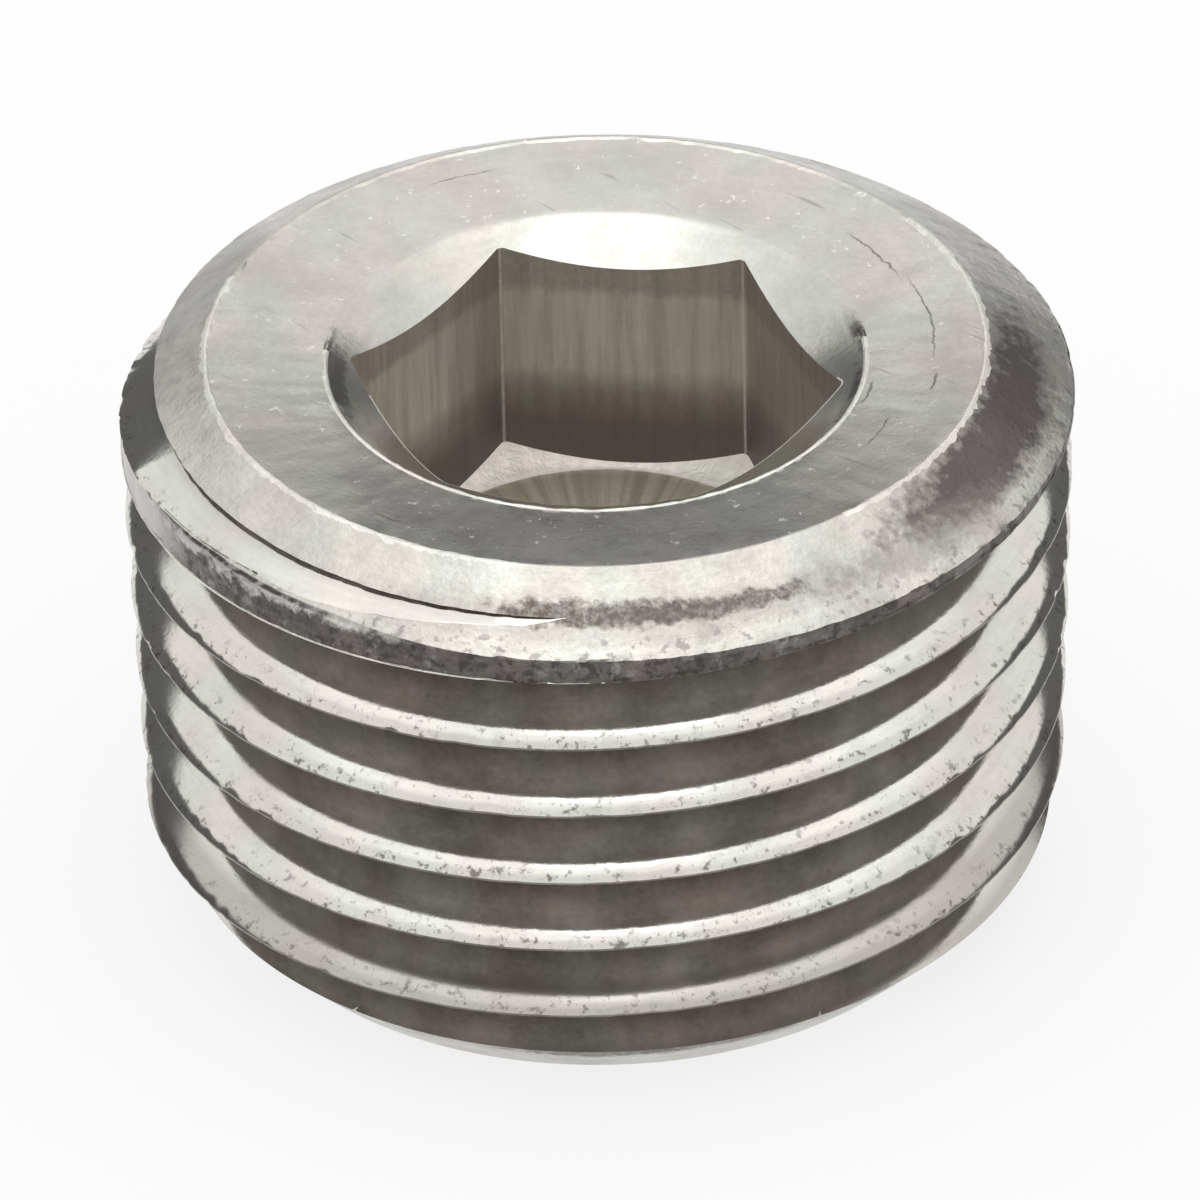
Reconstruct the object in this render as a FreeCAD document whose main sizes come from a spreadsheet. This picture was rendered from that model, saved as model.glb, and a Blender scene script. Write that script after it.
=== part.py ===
import FreeCAD, Part
import os
import Sketcher

# Hex socket plug with a tapered outside thread, turned from one piece, in millimetres.
# The thread's axis is Z, and the origin is the centre of the small end's face, on
# which the plug stands. The socket opens upward, and two of its flats run along X.

SIZES = {
    # Overall form
    "plug_length": 13.4,
    "wide_end_diameter": 21.26,
    "diameter_taper": 0.0625,
    "small_chamfer_width": 1.711,
    "small_chamfer_angle": 45.0,
    "top_chamfer_width": 1.98,
    "top_chamfer_angle": 32.0,
    "top_face_dish": 0.28,
    # Hexagon socket, with a countersunk mouth and a punched floor
    "socket_across_flats": 9.525,
    "socket_depth": 5.8,
    "countersink_margin": 0.48,
    "countersink_angle": 31.0,
    "floor_rim_angle": 30.0,
    "floor_rim_margin": 0.15,
    "floor_centre_angle": 9.0,
    "cut_overlap": 0.3,
    # Right-hand thread, cut as a helical groove from just before it meets the small
    # chamfer up to a drop below the top face
    "thread_pitch": 1.8143,
    "groove_angle": 60.0,
    "crest_flat": 0.2,
    "root_flat": 0.08,
    "groove_overshoot": 0.12,
    "groove_lead_in": 0.45,
    "groove_end_drop": 1.64,
    "groove_end_angle": 97.2,
    # The groove climbs and grows shallow as it leaves through the top chamfer
    "runout_turns": 0.5,
    "runout_pitch": 2.09,
    "runout_cone_angle": 25.0,
}

# Expressions for the places that follow from the sizes
SMALL_END_RADIUS = "(Sizes.wide_end_diameter - Sizes.plug_length * Sizes.diameter_taper) / 2"
HALF_TAPER = "Sizes.diameter_taper / 2"
CORNER_RADIUS = "Sizes.socket_across_flats / sqrt(3)"
MOUTH_RADIUS = f"({CORNER_RADIUS} + Sizes.countersink_margin)"
FLOOR_DISC_RADIUS = "(Sizes.socket_across_flats / 2 - Sizes.floor_rim_margin)"
FLOOR_CORNER_HEIGHT = "(Sizes.plug_length - Sizes.socket_depth)"
FLOOR_RIM_DROP = f"({CORNER_RADIUS} - {FLOOR_DISC_RADIUS}) * tan(Sizes.floor_rim_angle)"
FLOOR_DISC_HEIGHT = f"({FLOOR_CORNER_HEIGHT} - {FLOOR_RIM_DROP})"
FLOOR_CENTRE_DROP = f"{FLOOR_DISC_RADIUS} * tan(Sizes.floor_centre_angle)"
FLOOR_CENTRE_HEIGHT = f"({FLOOR_DISC_HEIGHT} - {FLOOR_CENTRE_DROP})"
HALF_GROOVE = "tan(Sizes.groove_angle / 2)"
GROOVE_WIDTH = "(Sizes.thread_pitch - Sizes.crest_flat - Sizes.root_flat)"
GROOVE_DEPTH = f"({GROOVE_WIDTH} / 2 / {HALF_GROOVE})"
SMALL_SLOPE = "tan(90 - Sizes.small_chamfer_angle)"
SMALL_FALL = f"({SMALL_SLOPE} - {HALF_TAPER})"
GROOVE_CONTACT = f"((Sizes.small_chamfer_width - {GROOVE_DEPTH}) / {SMALL_FALL})"
GROOVE_START = f"({GROOVE_CONTACT} - Sizes.groove_lead_in)"
GROOVE_END = "(Sizes.plug_length - Sizes.groove_end_drop)"
GROOVE_TURNS = f"(({GROOVE_END} - {GROOVE_START}) / Sizes.thread_pitch)"

# The full groove is cut in passes of less than a turn, each starting where the last ended
GROOVE_PASSES = 8


def add_sizes(doc):
    """Put the driving dimensions in a sheet, each in a cell with its own name."""
    sheet = doc.addObject("Spreadsheet::Sheet", "Sizes")
    for row, (name, value) in enumerate(SIZES.items(), start=1):
        sheet.set(f"A{row}", name)
        sheet.set(f"B{row}", str(value))
        sheet.setAlias(f"B{row}", name)
    return sheet


def add_sketch(body, name, role):
    """Add a sketch on one of the body's own origin planes."""
    plane = next(item for item in body.Origin.OriginFeatures if item.Role == role)
    sketch = body.newObject("Sketcher::SketchObject", name)
    sketch.AttachmentSupport = (plane, "")
    sketch.MapMode = "FlatFace"
    return sketch


def place_corner(sketch, index, kind, axis, start, expression):
    """Hold one coordinate of a corner at an expression, or at 0 where it is None."""
    if expression is None:
        sketch.addConstraint(Sketcher.Constraint("PointOnObject", index, 1, axis))
        return
    row = sketch.addConstraint(Sketcher.Constraint(kind, -1, 1, index, 1, start))
    sketch.setExpression(f"Constraints[{row}]", expression)


def draw_outline(sketch, corners):
    """Draw a closed outline. A corner is its drawn place and its two expressions."""
    points = [FreeCAD.Vector(across, up, 0) for (across, up), _, _ in corners]
    for start, end in zip(points, points[1:] + points[:1]):
        sketch.addGeometry(Part.LineSegment(start, end), False)
    for index in range(len(points)):
        following = (index + 1) % len(points)
        sketch.addConstraint(Sketcher.Constraint("Coincident", index, 2, following, 1))
    for index, (_, across, up) in enumerate(corners):
        place_corner(sketch, index, "DistanceX", -2, points[index].x, across)
        place_corner(sketch, index, "DistanceY", -1, points[index].y, up)


def add_blank(body):
    """Turn the tapered blank, with both chamfers, the dished top and the countersink."""
    small_face = f"({SMALL_END_RADIUS} - Sizes.small_chamfer_width)"
    small_height = f"(Sizes.small_chamfer_width / {SMALL_FALL})"
    small_radius = f"({small_face} + {small_height} * {SMALL_SLOPE})"
    top_face = "(Sizes.wide_end_diameter / 2 - Sizes.top_chamfer_width)"
    top_slope = "tan(Sizes.top_chamfer_angle)"
    top_drop = f"(Sizes.top_chamfer_width * {top_slope} / (1 + {HALF_TAPER} * {top_slope}))"
    top_radius = f"(Sizes.wide_end_diameter / 2 - {top_drop} * {HALF_TAPER})"
    mouth_height = "(Sizes.plug_length - Sizes.top_face_dish)"
    sink_radius = "(Sizes.socket_across_flats / 2 - Sizes.cut_overlap)"
    sink_height = f"({mouth_height} - ({MOUTH_RADIUS} - {sink_radius}) * tan(Sizes.countersink_angle))"
    sketch = add_sketch(body, "BlankOutline", "XZ_Plane")
    draw_outline(sketch, [
        ((0, 0), None, None),
        ((8.5, 0), small_face, None),
        ((10.3, 1.8), small_radius, small_height),
        ((10.6, 12.2), top_radius, f"Sizes.plug_length - {top_drop}"),
        ((8.6, 13.4), top_face, "Sizes.plug_length"),
        ((6.0, 13.1), MOUTH_RADIUS, mouth_height),
        ((4.5, 12.2), sink_radius, sink_height),
        ((0, 12.2), None, sink_height),
    ])
    blank = body.newObject("PartDesign::Revolution", "Blank")
    blank.Profile = sketch
    blank.ReferenceAxis = (sketch, ["V_Axis"])
    blank.Angle = 360
    return blank


def add_socket(body):
    """Sink the hexagon below its floor, from the top face down."""
    half_flats = "Sizes.socket_across_flats / 2"
    half_side = f"{CORNER_RADIUS} / 2"
    sketch = add_sketch(body, "SocketOutline", "XY_Plane")
    sketch.setExpression(".AttachmentOffset.Base.z", "Sizes.plug_length")
    draw_outline(sketch, [
        ((5.5, 0), CORNER_RADIUS, None),
        ((2.75, 4.76), half_side, half_flats),
        ((-2.75, 4.76), f"-({half_side})", half_flats),
        ((-5.5, 0), f"-({CORNER_RADIUS})", None),
        ((-2.75, -4.76), f"-({half_side})", f"-({half_flats})"),
        ((2.75, -4.76), half_side, f"-({half_flats})"),
    ])
    socket = body.newObject("PartDesign::Pocket", "Socket")
    socket.Profile = sketch
    socket.setExpression("Length", f"Sizes.plug_length - {FLOOR_CENTRE_HEIGHT} + Sizes.cut_overlap")
    return socket


def add_socket_floor(body):
    """Close the socket with the cone that the punch leaves, steeper near the walls."""
    rim_radius = f"({CORNER_RADIUS} + Sizes.cut_overlap)"
    rim_height = f"({FLOOR_CORNER_HEIGHT} + Sizes.cut_overlap * tan(Sizes.floor_rim_angle))"
    base_height = f"({FLOOR_CENTRE_HEIGHT} - 2 * Sizes.cut_overlap)"
    sketch = add_sketch(body, "FloorOutline", "XZ_Plane")
    draw_outline(sketch, [
        ((0, 5.8), None, base_height),
        ((5.8, 5.8), rim_radius, base_height),
        ((5.8, 7.8), rim_radius, rim_height),
        ((4.6, 7.1), FLOOR_DISC_RADIUS, FLOOR_DISC_HEIGHT),
        ((0, 6.4), None, FLOOR_CENTRE_HEIGHT),
    ])
    floor = body.newObject("PartDesign::Revolution", "SocketFloor")
    floor.Profile = sketch
    floor.ReferenceAxis = (sketch, ["V_Axis"])
    floor.Angle = 360
    return floor


def add_groove(body, name, height, turns_left, pitch, turns, cone_angle):
    """Cut a V groove up a cone, from a height and with turns left to the end angle."""
    root = f"({SMALL_END_RADIUS} + ({height}) * {HALF_TAPER} - {GROOVE_DEPTH})"
    mouth = f"({root} + {GROOVE_DEPTH} + Sizes.groove_overshoot)"
    half_root = "Sizes.root_flat / 2"
    half_mouth = f"({half_root} + ({GROOVE_DEPTH} + Sizes.groove_overshoot) * {HALF_GROOVE})"
    sketch = add_sketch(body, f"{name}Outline", "XZ_Plane")
    sketch.AttachmentOffset = FreeCAD.Placement(
        FreeCAD.Vector(0, 0, 0), FreeCAD.Rotation(FreeCAD.Vector(0, 1, 0), 1))
    start_angle = f"mod(Sizes.groove_end_angle + 360 * (ceil({turns_left}) - {turns_left}); 360)"
    sketch.setExpression(".AttachmentOffset.Rotation.Angle", start_angle)
    draw_outline(sketch, [
        ((10.5, -2.3), mouth, f"{height} - {half_mouth}"),
        ((10.5, -0.5), mouth, f"{height} + {half_mouth}"),
        ((9.0, -1.4), root, f"{height} + {half_root}"),
        ((9.0, -1.5), root, f"{height} - {half_root}"),
    ])
    groove = body.newObject("PartDesign::SubtractiveHelix", name)
    groove.Profile = sketch
    groove.ReferenceAxis = (sketch, ["V_Axis"])
    groove.Mode = "pitch-turns-angle"
    groove.setExpression("Pitch", pitch)
    groove.setExpression("Turns", turns)
    groove.setExpression("Angle", cone_angle)
    groove.LeftHanded = False
    groove.Reversed = False
    return groove


def add_thread(body, volume):
    """Cut the full thread, then its run-out through the top chamfer."""
    turns = f"({GROOVE_TURNS} / {GROOVE_PASSES})"
    for number in range(GROOVE_PASSES):
        height = f"({GROOVE_START} + {number} * {turns} * Sizes.thread_pitch)"
        turns_left = f"({GROOVE_PASSES - number} * {turns})"
        groove = add_groove(body, f"ThreadGroove{number + 1}", height, turns_left,
                            "Sizes.thread_pitch", turns, f"atan({HALF_TAPER})")
        volume = check_step(body.Document, groove, False, volume)
    runout = add_groove(body, "ThreadRunout", GROOVE_END, "0",
                        "Sizes.runout_pitch", "Sizes.runout_turns", "Sizes.runout_cone_angle")
    check_step(body.Document, runout, False, volume)
    return runout


def check_step(doc, feature, grows, volume):
    """Recompute, and make sure that a feature added or removed material."""
    doc.recompute()
    change = feature.Shape.Volume - volume
    if (change > 0) != grows or abs(change) < 1e-3:
        raise RuntimeError(f"{feature.Name} changed the volume by {change:.4f}")
    return feature.Shape.Volume


def add_plug(doc):
    """Make the plug's one body, in the order in which it is made."""
    body = doc.addObject("PartDesign::Body", "Plug")
    body.Label = "socket_plug"
    volume = check_step(doc, add_blank(body), True, 0.0)
    volume = check_step(doc, add_socket(body), False, volume)
    volume = check_step(doc, add_socket_floor(body), True, volume)
    body.Tip = add_thread(body, volume)
    body.Placement = FreeCAD.Placement()
    return body


def check_document(doc, parts):
    """Stop where an object failed, or where a part isn't one valid solid."""
    for item in doc.Objects:
        if "Invalid" in item.State or "Error" in item.State:
            raise RuntimeError(f"{item.Name} is {item.State}")
    for part in parts:
        shape = part.Shape
        if shape.isNull() or not shape.isValid() or len(shape.Solids) != 1:
            raise RuntimeError(f"{part.Label} isn't one valid solid")


def main():
    doc = FreeCAD.newDocument("HexSocketPlug")
    add_sizes(doc)
    parts = [add_plug(doc)]
    doc.recompute()
    check_document(doc, parts)
    os.makedirs("parts", exist_ok=True)
    for part in parts:
        part.Shape.exportStep(f"parts/{part.Label}.step")
        box = part.Shape.BoundBox
        reach = f"{box.XLength:.2f} x {box.YLength:.2f} x {box.ZLength:.2f} mm"
        print(f"{part.Label}: {part.Shape.Volume:.1f} mm3, {reach}")


main()
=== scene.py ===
import math

import bmesh
import bpy
import numpy as np
from mathutils import Matrix, Vector, noise


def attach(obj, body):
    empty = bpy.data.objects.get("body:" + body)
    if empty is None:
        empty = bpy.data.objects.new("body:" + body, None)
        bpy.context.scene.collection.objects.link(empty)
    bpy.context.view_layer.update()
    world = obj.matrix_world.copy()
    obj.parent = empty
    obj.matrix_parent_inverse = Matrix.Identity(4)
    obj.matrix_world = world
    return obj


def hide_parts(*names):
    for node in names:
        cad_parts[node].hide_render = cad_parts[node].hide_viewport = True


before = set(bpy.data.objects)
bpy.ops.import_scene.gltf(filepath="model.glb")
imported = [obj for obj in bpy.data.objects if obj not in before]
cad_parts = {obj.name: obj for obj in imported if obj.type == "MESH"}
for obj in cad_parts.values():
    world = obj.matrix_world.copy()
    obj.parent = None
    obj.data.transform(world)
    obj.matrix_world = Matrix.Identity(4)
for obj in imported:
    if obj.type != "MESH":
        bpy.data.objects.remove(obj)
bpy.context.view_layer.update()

MM = 0.001

# The plug's sizes in millimetres, the same as in its solid
LENGTH = 13.4
WIDE_RADIUS = 21.26 / 2
TAPER = 0.0625 / 2
SMALL_FACE_RADIUS = 8.5
SMALL_CHAMFER = math.radians(45)
FACE_RADIUS = 8.65
TOP_CHAMFER = math.radians(32)
DISH = 0.28
HALF_FLATS = 9.525 / 2
HEX_CORNER = HALF_FLATS / math.cos(math.radians(30))
SINK_RADIUS = HEX_CORNER + 0.48
SINK_SLOPE = math.tan(math.radians(31))
SOCKET_DEPTH = 5.8
FLOOR_RIM_SLOPE = math.tan(math.radians(30))
FLOOR_DISC_RADIUS = HALF_FLATS - 0.15
FLOOR_CENTRE_SLOPE = math.tan(math.radians(9))

# The thread's groove, which climbs to the right, and its run-out
PITCH = 1.8143
CREST_FLAT = 0.2
ROOT_FLAT = 0.08
FLANK_SLOPE = math.tan(math.radians(30))
GROOVE_DEPTH = (PITCH - CREST_FLAT - ROOT_FLAT) / 2 / FLANK_SLOPE
GROOVE_START_HEIGHT = -0.735
GROOVE_START_ANGLE = 144.0

# Columns of the mesh around the axis, and the step from the raised edge down to the face
COLUMNS = 600
FACE_DROP = 0.03

# The zones of the surface, each with its own material; the underside, edge, land and burr materials
# carry painted shade or highlight
ZONES = ["turned", "flank", "underside", "edge", "land", "burr", "face", "sink", "wall",
         "floor", "base"]
ZONE = {name: number for number, name in enumerate(ZONES)}

# The camera's place, in degrees and millimetres, and the frame at the target
CAMERA_AZIMUTH = 7.5
CAMERA_ELEVATION = 34.16
CAMERA_ROLL = 1.23
CAMERA_DISTANCE = 400.0
CAMERA_TARGET = Vector((0, 0, 6.75))
FRAME_PIXELS = 1200
PIXELS_PER_MM = 44.87
TARGET_PIXEL = (600.6, 596.3)

# The studio's pale dome and brighter ceiling: where each starts and is full, in degrees
HORIZON = (27.5, 30)
CEILING = (52, 66)


def radial_noise(angles, heights, around, up, seed, octaves=3):
    """Smooth noise from -1 to 1 on the round surface, with its two scales per mm."""
    out = np.empty(np.broadcast(angles, heights).shape)
    angles, heights = np.broadcast_arrays(angles, heights)
    x = np.cos(angles) * WIDE_RADIUS * around
    y = np.sin(angles) * WIDE_RADIUS * around
    z = heights * up + seed
    flat = out.reshape(-1)
    for index, place in enumerate(zip(x.flat, y.flat, z.flat)):
        flat[index] = noise.fractal(place, 0.6, 2.0, octaves, noise_basis="PERLIN_ORIGINAL")
    return out


def smooth_step(low, high, value):
    """Rise from 0 at low to 1 at high, with level ends."""
    share = np.clip((value - low) / (high - low), 0, 1)
    return share * share * (3 - 2 * share)


def blank_corners():
    """The heights and radii of the turned blank's outside, from the bottom up."""
    small_end = WIDE_RADIUS - LENGTH * TAPER
    low = (small_end - SMALL_FACE_RADIUS) / (1 / math.tan(SMALL_CHAMFER) - TAPER)
    width = WIDE_RADIUS - FACE_RADIUS
    drop = width * math.tan(TOP_CHAMFER) / (1 + TAPER * math.tan(TOP_CHAMFER))
    heights = [0, low, LENGTH - drop, LENGTH]
    radii = [SMALL_FACE_RADIUS, small_end + low * TAPER, WIDE_RADIUS - drop * TAPER, FACE_RADIUS]
    return np.array(heights), np.array(radii)


BLANK_HEIGHTS, BLANK_RADII = blank_corners()


def blank_radius(height):
    """The turned blank's radius, with its chamfers."""
    return np.interp(height, BLANK_HEIGHTS, BLANK_RADII)


def crest_radius(height):
    """The radius of the crests' cone."""
    return WIDE_RADIUS - (LENGTH - height) * TAPER


# The full groove ends behind the plug, GROOVE_END degrees left of the front, and its
# run-out follows the top chamfer from there to the front. At each angle, in degrees left
# of the front: how far the groove's lip lies below the face, how deep it undercuts the
# lip, and how far below the face it leaves the metal.
FRONT_ANGLE = 270.0 + 7.5
FULL_TURNS = 6.87
GROOVE_END = 180.35
RUNOUT_ANGLES = [0, 5, 6, 10, 18, 26, 33, 40, 54, 65, 75, 90, 110, 133, 180, 357, 360]
RUNOUT_LIPS = [0.65, 0.65, 0.65, 0.65, 0.65, 0.65, 0.65, 0.65, 0.65, 0.65, 0.66, 0.7,
               0.78, 0.88, 1.027, 0.65, 0.65]
RUNOUT_UNDERCUTS = [0, 0, 0.03, 0.05, 0.08, 0.1, 0.12, 0.14, 0.17, 0.21, 0.28, 0.42,
                    0.6, 0.8, 1.045, 0, 0]
RUNOUT_ENDS = [0.66, 0.66, 0.69, 0.77, 0.83, 0.93, 1.0, 1.06, 1.09, 1.15, 1.24, 1.5,
               1.8, 2.15, 2.478, 0.66, 0.66]
RUNOUT_RANGE = (5, 181)

# Where the dark land of the top crest begins: at the chamfer's foot, and higher on the left
LAND_ANGLES = [0, 5, 15, 25, 33, 54, 65, 78, 360]
LAND_TOPS = [1.206, 1.206, 1.19, 1.155, 1.09, 1.095, 1.155, 1.206, 1.206]

# The worn upper side of each crest: how far it stands above the groove's root at each
# drop below it. Then the same wear at the run-out, as a loss at each rise above its end.
HALF_GROOVE = (PITCH - CREST_FLAT) / 2 - ROOT_FLAT / 2
WORN_DROPS = [0, HALF_GROOVE - 0.167, HALF_GROOVE, HALF_GROOVE + 0.1, HALF_GROOVE + 0.16, 2.0]
WORN_DEPTHS = [0, GROOVE_DEPTH - 0.36, GROOVE_DEPTH - 0.13, GROOVE_DEPTH - 0.055, GROOVE_DEPTH,
               4.0]
ROUNDING_RISES = [-0.16, -0.1, 0, 0.167, HALF_GROOVE]
ROUNDING_LOSSES = [0, 0.055, 0.13, 0.071, 0]

# The strip at each crest's lower edge, from the crest's middle: its dark colour is a painted
# shadow line and its bright sides a painted highlight. Then the burr under the top crest, raised
# and painted bright as a highlight, with its range in degrees left of the front
EDGE_STRIP = (-0.118, -0.06)
BURR_HEIGHT = 0.05
BURR_RANGE = (11, 75)

# Scratches on the face: middle, in degrees right of the front, and half length in
# degrees, then radius and half width in mm
SCRATCHES = [(121, 9, 7.35, 0.035), (99, 14, 7.5, 0.03), (79, 3, 7.6, 0.05), (75, 5, 6.2, 0.04),
             (62, 6, 7.0, 0.025), (-158, 7, 7.8, 0.02), (-35, 5, 7.9, 0.03)]


def runout(angles):
    """The run-out's lip, root and end heights and its undercut, at part angles in degrees."""
    left = (FRONT_ANGLE - angles) % 360
    lip = LENGTH - np.interp(left, RUNOUT_ANGLES, RUNOUT_LIPS)
    undercut = np.interp(left, RUNOUT_ANGLES, RUNOUT_UNDERCUTS)
    end = LENGTH - np.interp(left, RUNOUT_ANGLES, RUNOUT_ENDS)
    present = (left >= RUNOUT_RANGE[0]) & (left <= RUNOUT_RANGE[1])
    return lip, lip - undercut * FLANK_SLOPE, end, undercut, present


def runout_radius(angles, heights):
    """The run-out's radius, or more than the blank's where it cuts nothing."""
    lip, root, end, undercut, present = runout(angles)
    lip_radius = blank_radius(lip)
    root_radius = lip_radius - undercut
    share = (root - heights) / np.maximum(root - end, 1e-6)
    below = root_radius + share * (blank_radius(end) - root_radius)
    above = lip_radius - (lip - heights) / FLANK_SLOPE
    radius = np.where(heights > root, above, below)
    inside = present & (heights < lip) & (heights > end)
    return np.where(inside, radius, WIDE_RADIUS + 1)


def thread_radius(turned, height):
    """The full groove's radius at turns from its start and heights."""
    best = np.full(np.broadcast(turned, height).shape, WIDE_RADIUS + 1.0)
    for number in range(-1, 9):
        turns = turned + number
        root_height = GROOVE_START_HEIGHT + turns * PITCH
        root_radius = crest_radius(root_height) - GROOVE_DEPTH
        above = np.maximum(height - root_height - ROOT_FLAT / 2, 0) / FLANK_SLOPE
        below = np.interp(root_height - height - ROOT_FLAT / 2, WORN_DROPS, WORN_DEPTHS)
        radius = root_radius + np.where(height > root_height, above, below)
        best = np.where(turns < FULL_TURNS, np.minimum(best, radius), best)
    return best


def last_edge(turned):
    """The height of the top crest's lower edge, above the last turn of the full groove."""
    turns = turned + np.ceil(FULL_TURNS - turned) - 1
    return GROOVE_START_HEIGHT + turns * PITCH + (PITCH - CREST_FLAT) / 2


def burr_height(left):
    """The height of the burr under the top crest, which fades out at the front."""
    return 1e-4 + BURR_HEIGHT * smooth_step(4, 20, left)


def burr_line(degrees):
    """The top of the burr under the top crest at the left, led back smoothly round the rest."""
    ends = [0.0, 80.0, 360.0]
    turned = (FRONT_ANGLE - np.array([0.0, 80.0, 0.0]) - GROOVE_START_ANGLE) / 360
    whole = last_edge((degrees - GROOVE_START_ANGLE) / 360)
    left = (FRONT_ANGLE - degrees) % 360
    return np.where(left < 80, whole, np.interp(left, ends, last_edge(turned))) + burr_height(left)


def frayed(left):
    """Where the face's edge has a ragged burr painted bright as a highlight, at degrees left of the
    front.
    """
    left = left % 360
    return ((left > 12) & (left < 112)) | ((left > 235) & (left < 322))


def collar(angles):
    """The depth of the jagged burr along the face's edge."""
    return 0.05 * (1 + 0.9 * radial_noise(angles, 0 * angles, 2.4, 1.0, seed=15.0))


def row_offsets():
    """The rows of one pitch, as heights above the crest's middle."""
    root = (PITCH - ROOT_FLAT) / 2
    crest = [EDGE_STRIP[0], -0.1, EDGE_STRIP[1], 0.0, 0.1, 0.18]
    lower = np.linspace(root + ROOT_FLAT, PITCH + EDGE_STRIP[0], 5)[:-1]
    return np.concatenate([crest, np.linspace(0.267, root, 6), lower])


def snap_rows(heights, gap):
    """Move the row nearest to each crease onto it, in one column."""
    for low in range(len(heights) - 1):
        if (gap[low] > 0) == (gap[low + 1] > 0):
            continue
        share = gap[low] / (gap[low] - gap[low + 1])
        crease = heights[low] + share * (heights[low + 1] - heights[low])
        heights[low if share < 0.5 else low + 1] = crease


def outer_surface():
    """The grid of the outside from the bottom edge to the face's edge."""
    degrees = np.arange(COLUMNS + 1) * 360 / COLUMNS
    angles = np.radians(degrees)
    turned = (degrees - GROOVE_START_ANGLE) / 360
    crest = GROOVE_START_HEIGHT + turned * PITCH + PITCH / 2
    heights = np.concatenate([crest[None, :] + number * PITCH + row_offsets()[:, None]
                              for number in range(-2, 9)])
    keep = (heights.max(axis=1) > -0.2) & (heights.min(axis=1) < LENGTH + 0.2)
    heights = np.clip(heights[keep], 0, LENGTH)
    for column in range(COLUMNS + 1):
        rows = heights[:, column]
        snap_rows(rows, thread_radius(turned[column], rows) - blank_radius(rows))
    lip, root, end, _, _ = runout(degrees)
    border = LENGTH - np.interp((FRONT_ANGLE - degrees) % 360, LAND_ANGLES, LAND_TOPS)
    lines = [lip + 1e-4, root, end, border, burr_line(degrees), LENGTH - collar(angles),
             BLANK_HEIGHTS[2] + 0 * turned, BLANK_HEIGHTS[1] + 0 * turned]
    heights = np.sort(np.concatenate([heights, lines]), axis=0)
    carved = runout_radius(degrees[None, :], heights)
    thread = np.minimum(thread_radius(turned[None, :], heights), carved)
    blank = blank_radius(heights)
    return degrees, heights, np.minimum(thread, blank), thread >= blank - 1e-6


def wear(degrees, heights, radii, on_blank):
    """Nick the crests, raise the burr under the top land and roughen the chamfer."""
    a = np.radians(degrees)[None, :]
    left = ((FRONT_ANGLE - degrees) % 360)[None, :]
    edge = last_edge((degrees - GROOVE_START_ANGLE) / 360)[None, :]
    crest = crest_radius(heights)
    near_crest = smooth_step(0.2, 0.02, crest - radii)
    nicks = radial_noise(a, heights, 1.9, 2.2, seed=11.0, octaves=2)
    dents = radial_noise(a, heights, 0.8, 1.2, seed=31.0, octaves=1)
    radii = radii - near_crest * (np.clip(nicks - 0.1, 0, 1) * 0.04 + np.clip(dents, 0, 1) * 0.02)
    above_burr = heights > edge + 0.9 * burr_height(left)
    land = on_blank & above_burr & (heights < BLANK_HEIGHTS[2] + 0.02)
    land = land * np.where(left < GROOVE_END, smooth_step(178, 130, left), 1.0)
    radii = radii - land * (0.02 + 0.03 * np.clip(nicks + 0.3, 0, 1))
    end = runout(degrees)[2][None, :]
    rounding = np.interp(heights - end, ROUNDING_RISES, ROUNDING_LOSSES)
    radii = radii - rounding * smooth_step(120, 178, left) * (left < GROOVE_END)
    crack = smooth_step(72, 66, left) * smooth_step(36, 48, left)
    radii = radii - crack * (np.abs(heights - end) < 1e-6) * (0.055 + 0.03 * nicks)
    chamfer = on_blank & (heights > BLANK_HEIGHTS[2] + 0.01) & (heights < LENGTH - 0.1)
    lumps = radial_noise(a, heights, 1.1, 1.8, seed=51.0)
    radii = radii + np.where(chamfer, np.minimum(lumps, 0.3) * 0.03, 0)
    return np.minimum(radii, crest - 0.004)


def outer_zones(degrees, heights, on_blank):
    """The zone of each face of the outside, from its place along the groove."""
    degrees = degrees[None, :-1]
    left = (FRONT_ANGLE - degrees) % 360
    turned = (degrees - GROOVE_START_ANGLE) / 360
    middle = (heights[1:, :-1] + heights[:-1, :-1]) / 2
    blank = on_blank[:-1, :-1] & on_blank[1:, :-1]
    offset = (middle - GROOVE_START_HEIGHT - turned * PITCH - PITCH / 2) % PITCH
    below_root = offset < (PITCH - ROOT_FLAT) / 2
    edge = last_edge(turned)
    _, root, _, _, _ = runout(degrees)
    below_root = np.where(middle > edge, middle < root, below_root)
    zones = np.where(below_root, ZONE["flank"], ZONE["underside"])
    strip = (offset > PITCH + EDGE_STRIP[0]) & (offset < PITCH + EDGE_STRIP[1]) & (middle < edge)
    zones = np.where(strip, ZONE["edge"], zones)
    border = LENGTH - np.interp(left, LAND_ANGLES, LAND_TOPS)
    top_land = blank & (middle > edge - 0.01) & (middle < border)
    zones = np.where(top_land, ZONE["land"], zones)
    # The burr under the top crest is raised, and its near-white colour is a painted highlight.
    burr = top_land & (middle < edge + burr_height(left))
    burr = burr & (left > BURR_RANGE[0]) & (left < BURR_RANGE[1])
    zones = np.where(burr, ZONE["burr"], zones)
    chamfer = blank & ((middle > border) | (middle < BLANK_HEIGHTS[1]))
    zones = np.where(chamfer, ZONE["turned"], zones)
    # Painted highlight: the frayed face edge takes the near-white burr colour.
    rim = (middle > LENGTH - collar(np.radians(degrees))) & frayed(left)
    return np.where(rim, ZONE["burr"], zones)


def hex_radius(angle):
    """The socket's wall distance from the axis, with slightly rounded corners."""
    local = np.mod(angle, math.pi / 3) - math.pi / 6
    return np.minimum(HALF_FLATS / np.cos(local), HEX_CORNER - 0.04)


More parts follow.
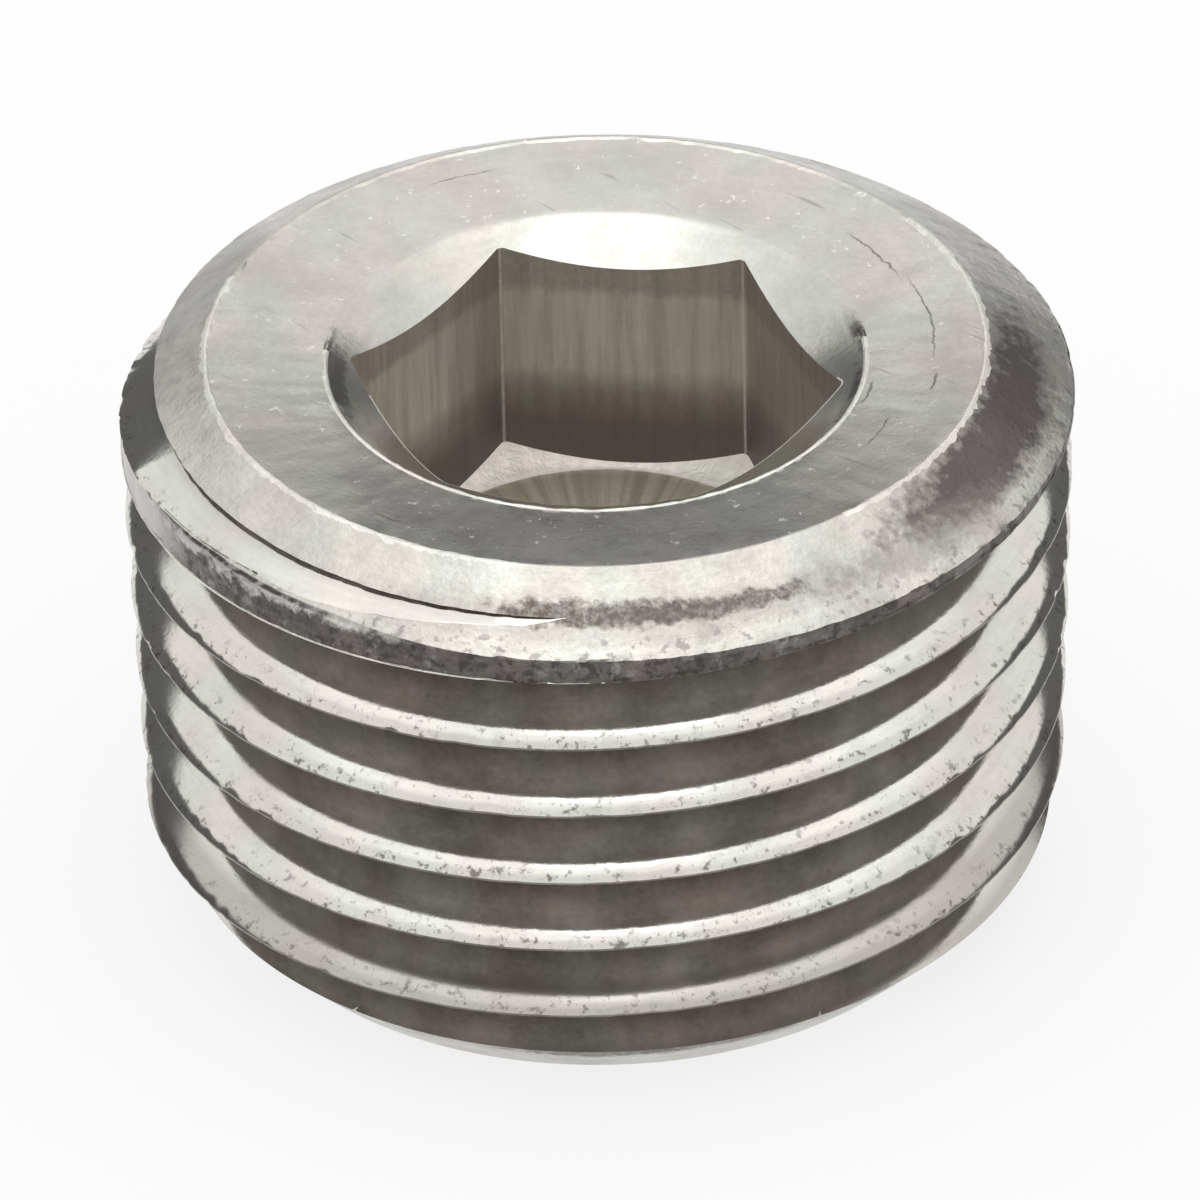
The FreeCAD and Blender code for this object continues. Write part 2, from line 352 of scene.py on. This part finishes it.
def face_height(radius):
    """The dished face, its soft inner edge and the countersink."""
    ring = LENGTH - (FACE_RADIUS - radius) * DISH / (FACE_RADIUS - SINK_RADIUS)
    sink = LENGTH - DISH - (SINK_RADIUS - radius) * SINK_SLOPE
    soft = 0.035
    return -soft * np.log(np.exp(-(ring - LENGTH) / soft) + np.exp(-(sink - LENGTH) / soft)) + LENGTH


def floor_height(radius):
    """The socket's floor: a steep rim and a shallow cone inside it."""
    disc = LENGTH - SOCKET_DEPTH - (HEX_CORNER - FLOOR_DISC_RADIUS) * FLOOR_RIM_SLOPE
    rim = disc + (radius - FLOOR_DISC_RADIUS) * FLOOR_RIM_SLOPE
    centre = disc - (FLOOR_DISC_RADIUS - radius) * FLOOR_CENTRE_SLOPE
    return np.where(radius > FLOOR_DISC_RADIUS, rim, centre)


class Grid:
    """A mesh built from rows of points, each face with its zone's material number."""

    def __init__(self):
        self.points = []
        self.faces = []
        self.zones = []

    def add_rows(self, radii, heights, angles, zones):
        """Join rows of points. zones has one number, or one per face, for each step."""
        rows, columns = heights.shape
        start = sum(len(block) for block in self.points)
        x = radii * np.cos(angles)
        y = radii * np.sin(angles)
        self.points.append(np.stack([x, y, heights], axis=-1).reshape(-1, 3))
        index = start + np.arange(rows * columns).reshape(rows, columns)
        quads = np.stack([index[:-1, :-1], index[:-1, 1:], index[1:, 1:], index[1:, :-1]], axis=-1)
        self.faces.append(quads.reshape(-1, 4))
        self.zones.append(np.broadcast_to(zones, (rows - 1, columns - 1)).reshape(-1))


def plug_mesh():
    """The plug's whole surface as one closed mesh, in metres."""
    grid = Grid()
    degrees, heights, radii, on_blank = outer_surface()
    radii = wear(degrees, heights, radii, on_blank)
    angles = np.radians(degrees)
    a = angles[None, :]
    jagged = radial_noise(a, 0 * a, 1.6, 1.0, seed=91.0) * 0.05
    radii[heights >= LENGTH - 1e-6] = FACE_RADIUS
    grid.add_rows(radii, heights, a, outer_zones(degrees, heights, on_blank))

    # The face's raised edge, its dish and the burr round the countersink
    mouth = hex_radius(angles)
    left = (FRONT_ANGLE - degrees + 180) % 360 - 180
    ridge = np.concatenate([[0 * left, 0.05 + jagged[0] * 0.6, 0.11 + jagged[0]],
                            np.linspace(0.2, FACE_RADIUS - SINK_RADIUS - 0.16, 8)[:, None] + 0 * a])
    ring = FACE_RADIUS - ridge
    waves = radial_noise(a, ring, 0.5, 1.2, seed=71.0) * 0.012
    face = face_height(ring) - FACE_DROP - np.abs(waves)
    face[:2] = LENGTH
    # Painted highlight: the raised edge is coloured near-white where it is frayed.
    bright = np.where(frayed(left)[:-1], ZONE["burr"], ZONE["face"])[None, :]
    grid.add_rows(ring[:3], face[:3], a, bright)
    grid.add_rows(ring[2:], face[2:], a, ZONE["face"])
    burr = 0.038 + 0.02 * radial_noise(a, 0 * a, 1.3, 1.0, seed=95.0)
    burr = burr * smooth_step(112, 92, np.abs(left))
    steps = np.array([0.16, 0.07, 0.02, -0.02, -0.06])[:, None]
    rim = SINK_RADIUS + steps + 0 * a
    rise = np.concatenate([0 * a, 0 * a, burr, burr, 0 * a])
    rim_height = face_height(rim) - FACE_DROP + rise
    rim_height[0] = face[-1]
    grid.add_rows(rim[:2], rim_height[:2], a, ZONE["face"])
    # Painted highlight: the burr round the countersink is near-white towards the front.
    bright = (np.abs(left) < 96) & (burr[0] > 0.014)
    bright = np.where(bright[:-1], ZONE["burr"], ZONE["sink"])[None, :]
    grid.add_rows(rim[1:], rim_height[1:], a, bright)
    shares = np.array([0, 0.15, 0.3, 0.5, 0.75, 0.94, 1.0])[:, None]
    lip = mouth[None, :] + 0.04
    sink = rim[-1:] + shares * (lip - rim[-1:])
    grid.add_rows(sink, face_height(sink) - FACE_DROP, a, ZONE["sink"])
    # Painted highlight: the socket's mouth edge is near-white from 18 to 86 degrees either side of
    # the front.
    bright = (np.abs(left) > 18) & (np.abs(left) < 86)
    bright = np.where(bright[:-1], ZONE["burr"], ZONE["sink"])[None, :]
    edge = np.concatenate([lip, mouth[None, :]])
    grid.add_rows(edge, face_height(edge) - FACE_DROP, a, bright)

    # The walls, and the floor with its steep rim and its shallow centre
    top = face_height(mouth)[None, :] - FACE_DROP
    foot = floor_height(mouth)[None, :]
    shares = np.array([0, 0.01, 0.25, 0.5, 0.75, 0.99, 1.0])[:, None]
    walls = top + shares * (foot - top)
    grid.add_rows(mouth[None, :] + 0 * shares, walls, a, ZONE["wall"])
    shares = np.array([0, 0.5, 1.0])[:, None]
    rim = mouth[None, :] + shares * (FLOOR_DISC_RADIUS - mouth[None, :])
    grid.add_rows(rim, floor_height(rim), a, ZONE["floor"])
    shares = np.array([1.0, 0.96, 0.85, 0.7, 0.55, 0.4, 0.25, 0.1, 0])[:, None]
    disc = FLOOR_DISC_RADIUS * shares + 0 * a
    grid.add_rows(disc, floor_height(disc - 1e-9), a, ZONE["floor"])
    shares = np.array([0, 0.5, 1.0])[:, None]
    base = SMALL_FACE_RADIUS * shares + 0 * a
    grid.add_rows(base, 0 * base, a, ZONE["base"])

    mesh = bpy.data.meshes.new("socket_plug_surface")
    points = np.concatenate(grid.points) * MM
    faces = np.concatenate(grid.faces)
    zones = np.concatenate(grid.zones)
    mesh.from_pydata(points.tolist(), [], faces.tolist())
    mesh.polygons.foreach_set("material_index", zones.astype(np.int32))
    return mesh


def weld(mesh):
    """Join the points that meet and turn every face outward."""
    work = bmesh.new()
    work.from_mesh(mesh)
    bmesh.ops.remove_doubles(work, verts=work.verts, dist=2e-6)
    bmesh.ops.dissolve_degenerate(work, edges=work.edges, dist=1e-7)
    bmesh.ops.recalc_face_normals(work, faces=work.faces)
    work.to_mesh(mesh)
    work.free()
    mesh.shade_smooth()
    mesh.set_sharp_from_angle(angle=math.radians(24))


class Nodes:
    """A short way to write a node tree."""

    def __init__(self, tree):
        self.tree = tree
        tree.nodes.clear()

    def add(self, kind, inputs=None, **settings):
        """A node with its settings, and its inputs linked or set to a value."""
        node = self.tree.nodes.new(kind)
        for name, value in settings.items():
            setattr(node, name, value)
        for name, value in (inputs or {}).items():
            if isinstance(value, bpy.types.NodeSocket):
                self.tree.links.new(value, node.inputs[name])
            else:
                node.inputs[name].default_value = value
        return node

    def math(self, operation, first, second=0.0, third=0.0):
        inputs = {0: first, 1: second, 2: third}
        return self.add("ShaderNodeMath", inputs, operation=operation).outputs[0]

    def remap(self, value, low, high, to_low, to_high):
        return self.add("ShaderNodeMapRange", {
            "Value": value, "From Min": low, "From Max": high,
            "To Min": to_low, "To Max": to_high}).outputs["Result"]

    def noise(self, vector, scale, detail=4.0, roughness=0.6):
        return self.add("ShaderNodeTexNoise", {
            "Vector": vector, "Scale": scale, "Detail": detail,
            "Roughness": roughness}).outputs["Fac"]

    def blend(self, share, first, second, way="MIX"):
        node = self.add("ShaderNodeMix", {"Factor": share}, data_type="RGBA", blend_type=way)
        for socket, value in zip((node.inputs[6], node.inputs[7]), (first, second)):
            if isinstance(value, bpy.types.NodeSocket):
                self.tree.links.new(value, socket)
            else:
                socket.default_value = (*value, 1.0)
        return node.outputs[2]

    def fade(self, value, low, high):
        """1 between low and high, falling to 0 outside, each a pair of levels."""
        up = self.remap(value, low[0], low[1], 0.0, 1.0)
        down = self.remap(value, high[0], high[1], 1.0, 0.0)
        return self.math("MULTIPLY", up, down)

    def white_share(self, share):
        """The share of plain white in what the camera and reflections see."""
        path = self.add("ShaderNodeLightPath").outputs
        seen = self.math("MAXIMUM", path["Is Camera Ray"], path["Is Glossy Ray"])
        return self.math("MULTIPLY", self.math("MAXIMUM", seen, path["Is Transmission Ray"]), share)

    def spot(self, places, noise, breakup):
        """A soft-edged oval: each place is a value, its middle and its half width."""
        far = self.math("MULTIPLY", self.math("SUBTRACT", noise, 0.5), breakup)
        for value, middle, half in places:
            away = self.math("DIVIDE", self.math("SUBTRACT", value, middle), half)
            far = self.math("ADD", far, self.math("MULTIPLY", away, away))
        return self.remap(far, 0.35, 1.0, 1.0, 0.0)


def chamfer_marks(n, at):
    """The brown smudges, the dark side and the pitted outer band of the top chamfer."""
    side, radius = at["side"], at["radius"]
    rough = n.math("ADD", n.math("MULTIPLY", at["coarse"], 0.5),
                   n.math("MULTIPLY", at["fine"], 0.5))
    front = n.spot([(side, 4.0, 40.0), (radius, 9.75, 0.6)], rough, 3.0)
    smudge = n.spot([(side, -1.0, 15.0), (radius, 9.62, 0.36)], rough, 4.0)
    trail = n.spot([(side, 15.0, 14.0), (radius, 9.68, 0.26)], rough, 4.5)
    dark_side = n.spot([(side, 72.0, 34.0), (radius, 9.4, 0.85)], rough, 2.4)
    lee = n.spot([(side, 46.0, 18.0), (radius, 9.85, 0.5)], rough, 4.0)
    left = n.math("MULTIPLY", n.fade(side, (-128.0, -104.0), (-64.0, -48.0)),
                  n.remap(at["coarse"], 0.35, 0.6, 0.35, 0.85))
    pitted = n.remap(radius, 9.8, 10.2, 0.0, 1.0)
    top = n.remap(at["height"], 11.5, 12.0, 0.0, 1.0)
    pits = n.math("MULTIPLY", n.remap(at["fine"], 0.56, 0.64, 0.0, 0.55),
                  n.math("MULTIPLY", pitted, top))
    speckle = n.remap(at["grain"], 0.4, 0.58, 0.6, 1.0)
    return [(n.math("MULTIPLY", left, top), (0.76, 0.74, 0.71), 0.2),
            (n.math("MULTIPLY", front, 0.4), (0.36, 0.325, 0.305), 0.1),
            (n.math("MULTIPLY", smudge, speckle), (0.15, 0.128, 0.115), 0.1),
            (n.math("MULTIPLY", trail, speckle), (0.17, 0.15, 0.135), 0.1),
            (n.math("MULTIPLY", dark_side, 0.9), (0.12, 0.1, 0.098), 0.1),
            (n.math("MULTIPLY", lee, 0.5), (0.3, 0.27, 0.26), 0.1),
            (pits, (0.22, 0.2, 0.19), 0.1)]


def crest_marks(n, at):
    """Dark pits and grime on the worn crests, painted shade in the thread roots and a duller lowest
    turn.
    """
    level = n.math("MULTIPLY", n.math("SUBTRACT", LENGTH, at["height"]), TAPER)
    depth = n.math("SUBTRACT", n.math("SUBTRACT", WIDE_RADIUS, level), at["radius"])
    worn = n.remap(depth, 0.12, 0.42, 1.0, 0.12)
    mixed = n.math("ADD", n.math("MULTIPLY", at["fine"], 0.5),
                   n.math("MULTIPLY", at["grain"], 0.5))
    pits = n.math("MULTIPLY", n.remap(mixed, 0.54, 0.62, 0.0, 0.85), worn)
    grime = n.math("MULTIPLY", n.remap(at["coarse"], 0.56, 0.7, 0.0, 0.4), worn)
    # Painted shade: the flank darkens with depth below the crest, towards the thread's root.
    painted_root_shade = n.remap(depth, 0.7, 1.3, 0.0, 0.75)
    low = n.math("MULTIPLY", n.remap(at["height"], 3.3, 4.4, 0.65, 0.0),
                 n.remap(depth, 0.5, 0.8, 1.0, 0.0))
    return [(painted_root_shade, (0.3, 0.27, 0.255), 0.1),
            (low, (0.4, 0.375, 0.355), 0.1),
            (grime, (0.3, 0.275, 0.26), 0.1),
            (pits, (0.17, 0.155, 0.147), 0.2)]


def edge_marks(n, at):
    """The crests' lower edges are painted bright towards both sides, as a highlight."""
    # Painted highlight: the edge colour turns bright towards both sides, away from the front.
    away = n.remap(n.math("ABSOLUTE", at["side"]), 38.0, 62.0, 0.0, 0.9)
    return [(away, (0.62, 0.6, 0.575), 0.0),
            (n.remap(at["fine"], 0.54, 0.62, 0.0, 0.7), (0.14, 0.125, 0.12), 0.1)]


def land_marks(n, at):
    """Pits all over the top crest's land, its bright left, ragged upper border, and painted shade in
    its crack.
    """
    left = n.remap(at["side"], -58.0, -68.0, 0.0, 0.85)
    # Painted shade: the crack is coloured near-black where the cut lies in shade.
    crack = n.math("MULTIPLY", n.fade(at["height"], (12.22, 12.25), (12.29, 12.31)),
                   n.fade(at["side"], (-70.0, -64.0), (-40.0, -30.0)))
    crack = n.math("MULTIPLY", crack, n.remap(at["fine"], 0.35, 0.5, 0.35, 0.9))
    ragged = n.math("MULTIPLY_ADD", at["coarse"], 1.3, n.math("SUBTRACT", at["height"], 0.65))
    fringe = n.math("MULTIPLY", n.remap(ragged, 12.05, 12.22, 0.0, 0.8),
                    n.fade(at["side"], (-68.0, -60.0), (-34.0, -18.0)))
    return [(n.remap(at["fine"], 0.5, 0.62, 0.0, 0.8), (0.07, 0.062, 0.058), 0.1),
            (n.remap(at["coarse"], 0.54, 0.66, 0.0, 0.7), (0.36, 0.34, 0.33), 0.0),
            (left, (0.66, 0.64, 0.62), 0.0),
            (fringe, (0.6, 0.58, 0.56), 0.0),
            (crack, (0.03, 0.028, 0.026), 0.0)]


def wall_marks(n, at):
    """The lighter middle of the walls, painted shade at the foot and on two stretches of the walls,
    and the thin bright corners.
    """
    wave = n.math("MULTIPLY", n.math("SUBTRACT", at["coarse"], 0.5), 0.5)
    height = n.math("ADD", at["height"], wave)
    middle = n.fade(height, (9.0, 9.7), (11.6, 11.85))
    # Painted shade: the walls darken towards the socket's floor.
    foot = n.remap(height, 8.2, 9.6, 1.0, 0.0)
    # Painted shade: the walls up to 58 degrees of turn are darker.
    right = n.math("MULTIPLY", n.remap(at["turn"], 58.0, 60.0, 1.0, 0.0), 0.6)
    shade = n.fade(at["turn"], (119.0, 120.0), (124.0, 142.0))
    streak = n.remap(at["strokes"], 0.4, 0.62, 0.42, 0.8)
    turn = n.math("PINGPONG", n.math("ADD", at["turn"], 360.0), 30.0)
    corner = n.math("MULTIPLY", n.remap(turn, 0.2, 0.5, 1.0, 0.0),
                    n.remap(at["coarse"], 0.3, 0.6, 0.2, 0.75))
    return [(n.math("MULTIPLY", middle, streak), (0.76, 0.74, 0.65), 0.0),
            (n.math("MULTIPLY", foot, 0.85), (0.18, 0.148, 0.14), 0.0),
            (right, (0.2, 0.17, 0.16), 0.0),
            (n.math("MULTIPLY", shade, 0.5), (0.2, 0.175, 0.16), 0.0),
            (corner, (0.8, 0.77, 0.73), 0.0)]


def floor_marks(n, at):
    """The floor's disc: darker and olive, with a bright line round it."""
    disc = n.remap(at["radius"], FLOOR_DISC_RADIUS - 0.05, FLOOR_DISC_RADIUS, 1.0, 0.0)
    edge = n.spot([(at["radius"], FLOOR_DISC_RADIUS + 0.03, 0.06)], at["coarse"], 0.6)
    rays = n.remap(at["strokes"], 0.42, 0.6, 0.0, 0.55)
    return [(n.math("MULTIPLY", disc, 0.9), (0.5, 0.465, 0.375), 0.0),
            (n.math("MULTIPLY", disc, rays), (0.27, 0.245, 0.19), 0.0),
            (n.math("MULTIPLY", edge, 0.6), (0.95, 0.93, 0.88), 0.0)]


def face_marks(n, at):
    """Scratches, small bright dents and the darker front of the face."""
    side, radius = at["side"], at["radius"]
    turned = n.add("ShaderNodeVectorRotate", {0: at["place"], "Angle": 0.6},
                   rotation_type="Z_AXIS").outputs[0]
    long = n.add("ShaderNodeVectorMath", {0: turned, 1: (0.35, 3.2, 1.0)},
                 operation="MULTIPLY").outputs[0]
    lines = n.remap(n.noise(long, 1.0, 3.0, 0.5), 0.67, 0.71, 0.0, 0.6)
    dents = n.remap(at["fine"], 0.66, 0.7, 0.0, 0.8)
    front = n.spot([(side, 2.0, 44.0), (radius, 7.5, 2.4)], at["coarse"], 0.8)
    stain = n.spot([(side, -30.0, 26.0), (radius, 7.0, 0.9)], at["coarse"], 2.5)
    wave = n.math("MULTIPLY", n.math("SUBTRACT", at["coarse"], 0.5), 0.35)
    wavy = n.math("ADD", radius, wave)
    layers = [(n.math("MULTIPLY", front, 0.6), (0.42, 0.405, 0.39), 0.0),
              (n.math("MULTIPLY", stain, 0.4), (0.36, 0.32, 0.32), 0.0)]
    for middle, length, ring, width in SCRATCHES:
        along = n.fade(side, (middle - length, middle - length * 0.6),
                       (middle + length * 0.6, middle + length))
        across = n.fade(wavy, (ring - width, ring - width / 3),
                        (ring + width / 3, ring + width))
        scratch = n.math("MULTIPLY", along, across)
        layers.append((n.math("MULTIPLY", scratch, 0.75), (0.16, 0.14, 0.13), 0.1))
    return layers + [(lines, (0.34, 0.315, 0.295), 0.1), (dents, (0.95, 0.93, 0.9), 0.1)]


def sink_marks(n, at):
    """Dark ragged marks along the right and left edges of the countersink."""
    mark = n.math("MULTIPLY", n.fade(at["side"], (62.0, 72.0), (100.0, 108.0)),
                  n.fade(at["radius"], (5.7, 5.8), (6.0, 6.1)))
    left = n.spot([(at["side"], -86.0, 16.0), (at["radius"], 5.8, 0.4)], at["coarse"], 3.0)
    mark = n.math("MULTIPLY", mark, n.remap(at["coarse"], 0.42, 0.56, 0.0, 0.85))
    return [(mark, (0.12, 0.1, 0.1), 0.1),
            (n.math("MULTIPLY", left, 0.8), (0.13, 0.12, 0.11), 0.1)]


def steel(name, light, dark, roughness, streaks, along, scale, bump, metal=1.0, marks=None):
    """Machined stainless steel with fine tool marks along one direction.

    along says what the marks keep constant: radius (rings on a face or flank),
    height (rings on a land) or angle (strokes up a wall).
    """
    material = bpy.data.materials.new(name)
    material.use_nodes = True
    n = Nodes(material.node_tree)
    place = n.add("ShaderNodeTexCoord").outputs["Object"]
    in_mm = n.add("ShaderNodeVectorMath", {0: place, "Scale": 1 / MM},
                  operation="SCALE").outputs[0]
    parts = n.add("ShaderNodeSeparateXYZ", {0: in_mm}).outputs
    flat = n.add("ShaderNodeCombineXYZ", {"X": parts["X"], "Y": parts["Y"]}).outputs[0]
    radius = n.add("ShaderNodeVectorMath", {0: flat}, operation="LENGTH").outputs["Value"]
    around = n.add("ShaderNodeVectorMath", {0: flat}, operation="NORMALIZE").outputs[0]
    spread = n.add("ShaderNodeSeparateXYZ", {0: around}).outputs
    turn = n.math("DEGREES", n.math("ARCTAN2", parts["Y"], parts["X"]))
    side = n.math("WRAP", n.math("SUBTRACT", turn, FRONT_ANGLE), 180.0, -180.0)
    if along == "angle":
        across = n.add("ShaderNodeCombineXYZ", {
            "X": n.math("MULTIPLY", spread["X"], scale * 5.0),
            "Y": n.math("MULTIPLY", spread["Y"], scale * 5.0),
            "Z": n.math("MULTIPLY", parts["Z"], 0.25)}).outputs[0]
    else:
        level = radius if along == "radius" else parts["Z"]
        across = n.add("ShaderNodeCombineXYZ", {
            "X": n.math("MULTIPLY", spread["X"], 6.0),
            "Y": n.math("MULTIPLY", spread["Y"], 6.0),
            "Z": n.math("MULTIPLY", level, scale)}).outputs[0]
    strokes = n.noise(across, 1.0, 5.0, 0.65)
    patches = n.noise(in_mm, 0.55, 5.0, 0.65)
    grain = n.noise(in_mm, 7.0, 4.0, 0.65)
    tone = n.math("ADD", n.math("MULTIPLY", strokes, streaks),
                  n.math("MULTIPLY", patches, 1 - streaks))
    tone = n.math("ADD", tone, n.math("MULTIPLY", n.math("SUBTRACT", grain, 0.5), 0.35))
    colour = n.blend(n.remap(tone, 0.36, 0.62, 0.0, 1.0), dark, light)
    cast = n.remap(n.noise(in_mm, 0.5, 2.0, 0.5), 0.42, 0.58, 0.0, 1.0)
    tint = n.blend(cast, (1.0, 0.965, 0.955), (0.965, 1.0, 0.975))
    colour = n.blend(1.0, colour, tint, "MULTIPLY")
    rough = n.remap(tone, 0.3, 0.7, roughness + 0.08, max(roughness - 0.05, 0.04))
    if marks:
        at = {"side": side, "turn": turn, "radius": radius, "height": parts["Z"], "place": in_mm,
              "strokes": strokes, "grain": grain,
              "coarse": n.noise(in_mm, 1.7, 5.0, 0.7), "fine": n.noise(in_mm, 3.6, 3.0, 0.6)}
        for mask, shade, rougher in marks(n, at):
            colour = n.blend(mask, colour, shade)
            if rougher:
                rough = n.math("MULTIPLY_ADD", mask, rougher, rough)
    relief = n.math("ADD", n.math("MULTIPLY", strokes, 0.4), n.math("MULTIPLY", grain, 0.6))
    normal = n.add("ShaderNodeBump", {
        "Height": relief, "Strength": bump, "Distance": 0.04 * MM}).outputs[0]
    shader = n.add("ShaderNodeBsdfPrincipled", {
        "Base Color": colour, "Metallic": metal, "Roughness": rough, "Normal": normal})
    n.add("ShaderNodeOutputMaterial", {"Surface": shader.outputs[0]})
    return material


def plug_materials():
    """One material for each zone, in the order of ZONES."""
    light = (0.66, 0.645, 0.615)
    grey = (0.5, 0.485, 0.46)
    return [
        steel("steel_turned", light, grey, 0.3, 0.25, "radius", 6.0, 0.6, marks=chamfer_marks),
        steel("steel_flank", (0.74, 0.725, 0.695), (0.64, 0.625, 0.6), 0.045, 0.5, "radius", 7.0,
              0.06, marks=crest_marks),
        # Painted shade: the downward-facing flanks are dark so that the flanks below them reflect
        # shade.
        steel("steel_underside_painted_shade", (0.31, 0.28, 0.265), (0.19, 0.175, 0.16), 0.4, 0.3, "angle", 1.2,
              0.4),
        # Painted shadow: the dark base of each crest's lower edge stands for the shadow line under
        # the crest.
        steel("steel_edge_painted_shadow_and_highlight", (0.27, 0.25, 0.235), (0.16, 0.145, 0.14), 0.35, 0.3, "height", 7.0,
              0.5, marks=edge_marks),
        # Painted shade: the land's very dark base colour stands for the shade that it reflects.
        steel("steel_land_painted_shade", (0.19, 0.172, 0.163), (0.095, 0.086, 0.082), 0.36, 0.3, "height", 7.0,
              0.9, marks=land_marks),
        # Real raised burrs, with a near-white colour that is a painted highlight.
        steel("steel_burr_painted_highlight", (0.95, 0.935, 0.9), (0.7, 0.68, 0.65), 0.45, 0.2, "radius", 7.0,
              0.8, 0.7),
        steel("steel_face", (0.69, 0.675, 0.645), (0.59, 0.575, 0.545), 0.26, 0.2, "radius", 5.0,
              0.12, marks=face_marks),
        steel("steel_sink", (0.66, 0.65, 0.62), (0.55, 0.54, 0.51), 0.22, 0.4, "radius", 4.0, 0.2,
              marks=sink_marks),
        steel("steel_wall", (0.55, 0.5, 0.44), (0.38, 0.34, 0.3), 0.42, 0.75, "angle", 3.0, 0.5, 0.4,
              marks=wall_marks),
        steel("steel_floor", (0.95, 0.92, 0.86), (0.79, 0.76, 0.71), 0.4, 0.5, "angle", 3.0, 0.6, 0.6,
              marks=floor_marks),
        steel("steel_base", light, grey, 0.3, 0.5, "radius", 4.0, 0.5),
    ]


def add_plug():
    """The worn steel surface that stands for the plain solid."""
    mesh = plug_mesh()
    weld(mesh)
    for material in plug_materials():
        mesh.materials.append(material)
    plug = bpy.data.objects.new("socket_plug_steel", mesh)
    bpy.context.scene.collection.objects.link(plug)
    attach(plug, "root")
    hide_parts("socket_plug")


def add_floor():
    """A plain pale table top, level with the plug's small end."""
    half = 1.5
    mesh = bpy.data.meshes.new("table_top")
    corners = [(-half, -half, 0), (half, -half, 0), (half, half, 0), (-half, half, 0)]
    mesh.from_pydata(corners, [], [(0, 1, 2, 3)])
    material = bpy.data.materials.new("pale_table")
    material.use_nodes = True
    n = Nodes(material.node_tree)
    place = n.add("ShaderNodeTexCoord").outputs["Object"]
    shade = n.blend(n.noise(place, 30.0), (0.9, 0.9, 0.9), (0.92, 0.92, 0.92))
    table = n.add("ShaderNodeBsdfPrincipled", {"Base Color": shade, "Roughness": 0.9})
    white = n.add("ShaderNodeEmission", {"Strength": 1.0})
    seen = n.white_share(0.8)
    shader = n.add("ShaderNodeMixShader", {0: seen, 1: table.outputs[0], 2: white.outputs[0]})
    n.add("ShaderNodeOutputMaterial", {"Surface": shader.outputs[0]})
    mesh.materials.append(material)
    floor = bpy.data.objects.new("table_top", mesh)
    bpy.context.scene.collection.objects.link(floor)


def sines(angles):
    """The height of each elevation, in degrees, on a sphere of radius 1."""
    return [math.sin(math.radians(angle)) for angle in angles]


def add_light():
    """A bright ceiling, a pale dome that comes lower at both sides, and a soft lamp."""
    world = bpy.data.worlds.new("studio")
    bpy.context.scene.world = world
    world.use_nodes = True
    n = Nodes(world.node_tree)
    direction = n.add("ShaderNodeTexCoord").outputs["Generated"]
    parts = n.add("ShaderNodeSeparateXYZ", {0: direction}).outputs
    front = math.radians(FRONT_ANGLE)
    across = n.math("MULTIPLY_ADD", parts["X"], -math.sin(front),
                    n.math("MULTIPLY", parts["Y"], math.cos(front)))
    height = n.math("MULTIPLY_ADD", n.math("ABSOLUTE", across), 0.125, parts["Z"])
    dome = n.remap(height, *sines(HORIZON), 0.15, 1.0)
    ceiling = n.remap(height, *sines(CEILING), 0.0, 0.35)
    background = n.add("ShaderNodeBackground", {
        "Color": (1.0, 0.995, 0.98, 1.0), "Strength": n.math("ADD", dome, ceiling)})
    n.add("ShaderNodeOutputWorld", {"Surface": background.outputs[0]})

    lamp = bpy.data.lights.new("softbox", "AREA")
    lamp.shape = "DISK"
    lamp.size = 0.34
    lamp.energy = 0.17
    box = bpy.data.objects.new("softbox", lamp)
    box.location = (0, 0, 0.5)
    bpy.context.scene.collection.objects.link(box)


def add_camera():
    """The camera at the photograph's angle, far away and level but for a small roll."""
    azimuth = math.radians(CAMERA_AZIMUTH)
    elevation = math.radians(CAMERA_ELEVATION)
    roll = math.radians(CAMERA_ROLL)
    back = Vector((math.sin(azimuth) * math.cos(elevation),
                   -math.cos(azimuth) * math.cos(elevation), math.sin(elevation)))
    level = Vector((math.cos(azimuth), math.sin(azimuth), 0))
    upright = back.cross(level)
    right = math.cos(roll) * level - math.sin(roll) * upright
    up = math.sin(roll) * level + math.cos(roll) * upright
    lens = bpy.data.cameras.new("camera")
    camera = bpy.data.objects.new("camera", lens)
    turn = Matrix((right, up, back)).transposed().to_4x4()
    camera.matrix_world = Matrix.Translation((CAMERA_TARGET + back * CAMERA_DISTANCE) * MM) @ turn
    lens.sensor_width = 36.0
    lens.lens = lens.sensor_width * CAMERA_DISTANCE * PIXELS_PER_MM / FRAME_PIXELS
    lens.shift_x = -(TARGET_PIXEL[0] - FRAME_PIXELS / 2) / FRAME_PIXELS
    lens.shift_y = (TARGET_PIXEL[1] - FRAME_PIXELS / 2) / FRAME_PIXELS
    lens.clip_start = 0.01
    lens.clip_end = 10.0
    bpy.context.scene.collection.objects.link(camera)
    bpy.context.scene.camera = camera


add_camera()
add_floor()
add_light()
add_plug()
bpy.context.scene.view_settings.view_transform = "Standard"
